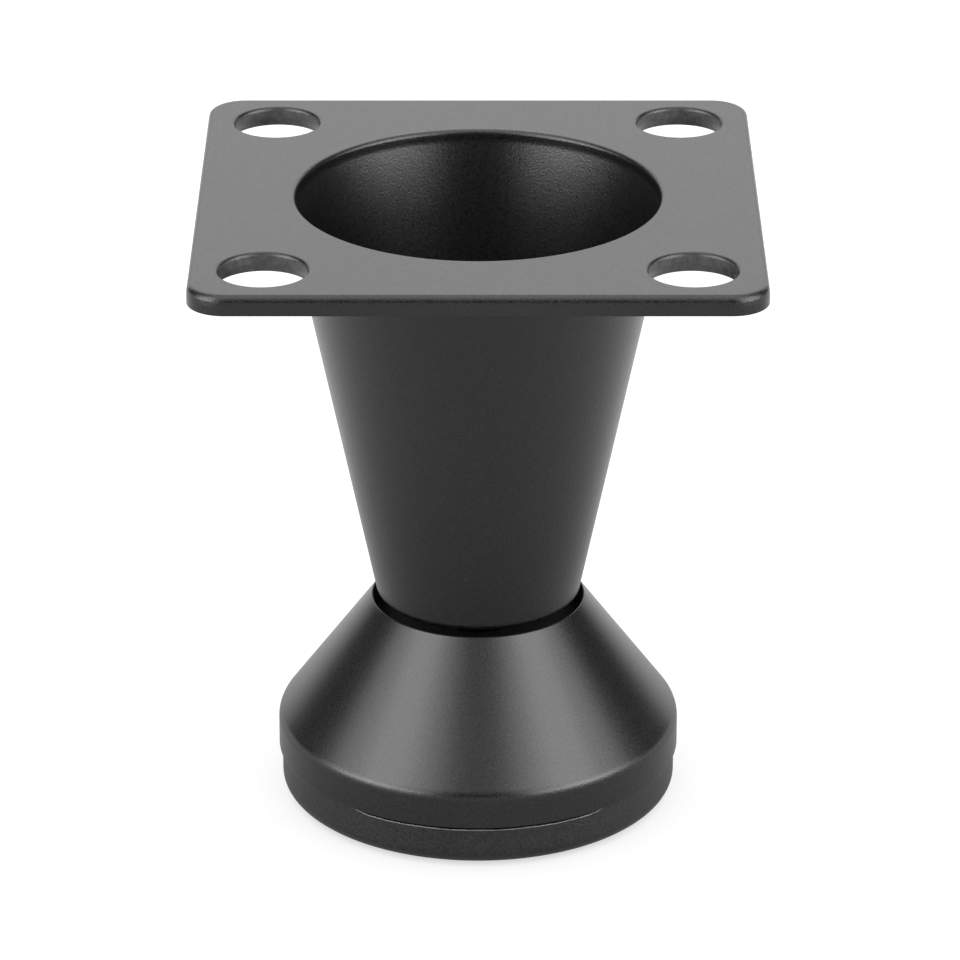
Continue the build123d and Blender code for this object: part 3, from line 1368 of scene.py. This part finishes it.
@dataclass(frozen=True)
class Studio:
    """The pale floor, the white surround, the lamps and the camera.

    The panels are seen by reflections only. Matt surfaces are lit by the surround alone.
    """

    floor_half: float = 6.0
    floor_colour: float = 0.5
    floor_seen_colour: float = 0.55
    floor_glow: float = 0.6
    floor_mirrored: float = 0.82
    # Painted shadow and painted light that reflections see on the floor: darker near the leg, brighter behind
    # it.
    shade_mirrored: float = 0.51
    shade_reach: tuple[float, float] = (0.022, 0.09)
    glow_reach: tuple[float, float] = (0.5, 2.0)
    painted_light_behind: float = 0.15
    behind_reach: float = 0.1
    surround_light: float = 1.1
    surround_mirrored: float = 0.8
    panel_distance: float = 1.2
    side_azimuths: tuple[float, float, float] = (38.0, 60.0, 82.0)
    side_radiances: tuple[float, float, float] = (2.9, 5.3, 2.9)
    side_width: float = 22.0
    side_elevation: float = 30.0
    side_height: float = 54.0
    flag_azimuth: float = 118.0
    flag_width: float = 38.0
    back_elevation: float = 35.0
    back_width: float = 70.0
    back_height: float = 44.0
    back_radiance: float = 1.17
    top_width: float = 46.0
    top_radiance: float = 2.0
    low_azimuth: float = 58.0
    low_elevation: float = 10.0
    low_distance: float = 1.1
    low_width: float = 50.0
    low_height: float = 15.0
    low_radiance: float = 5.0
    front_flag_elevation: float = 18.0
    front_flag_width: float = 48.0
    front_flag_height: float = 30.0
    camera_back: float = 545.748
    camera_height: float = 276.144
    camera_pitch: float = 23.72
    focal_pixels: float = 5445.6
    centre_pixel: float = 478.1
    frame_pixels: float = 960.0
    sensor: float = 36.0

    def floor(self) -> bpy.types.Object:
        """Builds the floor, which stays under the glide as the foot is wound out.

        Returns:
            The floor.
        """
        mesh = bmesh.new()
        bmesh.ops.create_grid(mesh, x_segments=1, y_segments=1, size=self.floor_half)
        data = bpy.data.meshes.new("floor")
        mesh.to_mesh(data)
        mesh.free()
        made = bpy.data.objects.new("floor", data)
        bpy.context.scene.collection.objects.link(made)
        material = bpy.data.materials.new("pale_floor")
        material.use_nodes = True
        sheet = ShaderSheet(material.node_tree)
        # Painted shadow near the leg and painted light behind it, seen only by reflections and through glass;
        # the camera sees none of it.
        place = sheet.add("ShaderNodeTexCoord").outputs["Object"]
        away = sheet.add("ShaderNodeVectorMath", {0: place}, operation="LENGTH").outputs["Value"]
        shade = sheet.ramp(away, *self.shade_reach, self.shade_mirrored, self.floor_mirrored)
        depth = sheet.add("ShaderNodeSeparateXYZ", {0: place}).outputs["Y"]
        behind = sheet.ramp(depth, 0.0, self.behind_reach, 0.0, self.painted_light_behind)
        pale = sheet.paleness(sheet.math("ADD", shade, behind))
        lit = sheet.add("ShaderNodeBsdfDiffuse", {"Color": (*(self.floor_colour,) * 3, 1.0)})
        seen_colour = sheet.math("MULTIPLY", pale, self.floor_seen_colour)
        seen = sheet.add("ShaderNodeBsdfDiffuse", {"Color": seen_colour})
        glowing = sheet.math("MULTIPLY", pale, sheet.ramp(away, *self.glow_reach, self.floor_glow, 1.0))
        glow = sheet.add("ShaderNodeEmission", {"Strength": glowing})
        white = sheet.add("ShaderNodeAddShader", {0: seen.outputs[0], 1: glow.outputs[0]})
        inputs = {0: sheet.seen_directly(), 1: lit.outputs[0], 2: white.outputs[0]}
        mixed = sheet.add("ShaderNodeMixShader", inputs)
        clear = sheet.add("ShaderNodeBsdfTransparent")
        below = sheet.add("ShaderNodeNewGeometry").outputs["Backfacing"]
        one_sided = sheet.add("ShaderNodeMixShader", {0: below, 1: mixed.outputs[0], 2: clear.outputs[0]})
        sheet.add("ShaderNodeOutputMaterial", {"Surface": one_sided.outputs[0]})
        data.materials.append(material)
        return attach(made, Body.GLIDE.value)

    def surround(self) -> None:
        """Lights the scene softly from all round, with a white background."""
        world = bpy.data.worlds.new("surround")
        world.use_nodes = True
        sheet = ShaderSheet(world.node_tree)
        light = sheet.add("ShaderNodeBackground", {"Color": WHITE, "Strength": self.surround_light})
        strength = sheet.paleness(self.surround_mirrored)
        white = sheet.add("ShaderNodeBackground", {"Color": WHITE, "Strength": strength})
        inputs = {0: sheet.seen_directly(), 1: light.outputs[0], 2: white.outputs[0]}
        mixed = sheet.add("ShaderNodeMixShader", inputs)
        sheet.add("ShaderNodeOutputWorld", {"Surface": mixed.outputs[0]})
        bpy.context.scene.world = world

    def camera(self) -> bpy.types.Object:
        """Builds the camera at the photograph's place.

        Returns:
            The camera.
        """
        data = bpy.data.cameras.new("camera")
        data.sensor_width = self.sensor
        data.lens = self.focal_pixels / self.frame_pixels * self.sensor
        data.shift_x = (self.frame_pixels / 2 - self.centre_pixel) / self.frame_pixels
        data.clip_start = 0.05
        made = bpy.data.objects.new("camera", data)
        bpy.context.scene.collection.objects.link(made)
        made.location = (0.0, -self.camera_back * MM, self.camera_height * MM)
        made.rotation_euler = (math.radians(90 - self.camera_pitch), 0.0, 0.0)
        bpy.context.scene.camera = made
        return made

    def panels(self) -> list[Panel]:
        """Lays out the lamps and flags, the same on both sides.

        Returns:
            The panels in order.
        """
        near = self.panel_distance
        back = (self.back_elevation, near, self.back_width, self.back_height, self.back_radiance)
        top = (near, self.top_width, self.top_width, self.top_radiance)
        front = (self.front_flag_elevation, near, self.front_flag_width, self.front_flag_height)
        low = (self.low_elevation, self.low_distance, self.low_width, self.low_height, self.low_radiance)
        beside = (self.side_elevation, near, self.side_width, self.side_height)
        flag = (self.side_elevation, near, self.flag_width, self.side_height)
        made = [
            Panel("softbox_back", 180.0, *back),
            Panel("softbox_top", 0.0, 90.0, *top),
            Panel("flag_front", 0.0, *front),
        ]
        for side, sign in (("left", -1), ("right", 1)):
            made.append(Panel(f"softbox_{side}_low", sign * self.low_azimuth, *low))
            for azimuth, radiance in zip(self.side_azimuths, self.side_radiances):
                made.append(Panel(f"softbox_{side}_{azimuth:.0f}", sign * azimuth, *beside, radiance))
            made.append(Panel(f"flag_{side}", sign * self.flag_azimuth, *flag))
        return made

    def build(self) -> None:
        """Builds the whole studio round the leg."""
        aim = (CAD_BOX[0] + CAD_BOX[1]) / 2
        self.floor()
        self.surround()
        self.camera()
        for panel in self.panels():
            panel.build(aim)
        bpy.context.scene.view_settings.view_transform = "Standard"


def main() -> None:
    """Builds the studio and the leg, and reports each piece."""
    logging.basicConfig(level=logging.INFO, format="%(name)s %(message)s")
    Studio().build()
    MountingPlate().build()
    LegCup().build()
    AdjustingScrew().build()
    Foot().build()
    Glide().build()


if __name__ == "__main__":
    main()
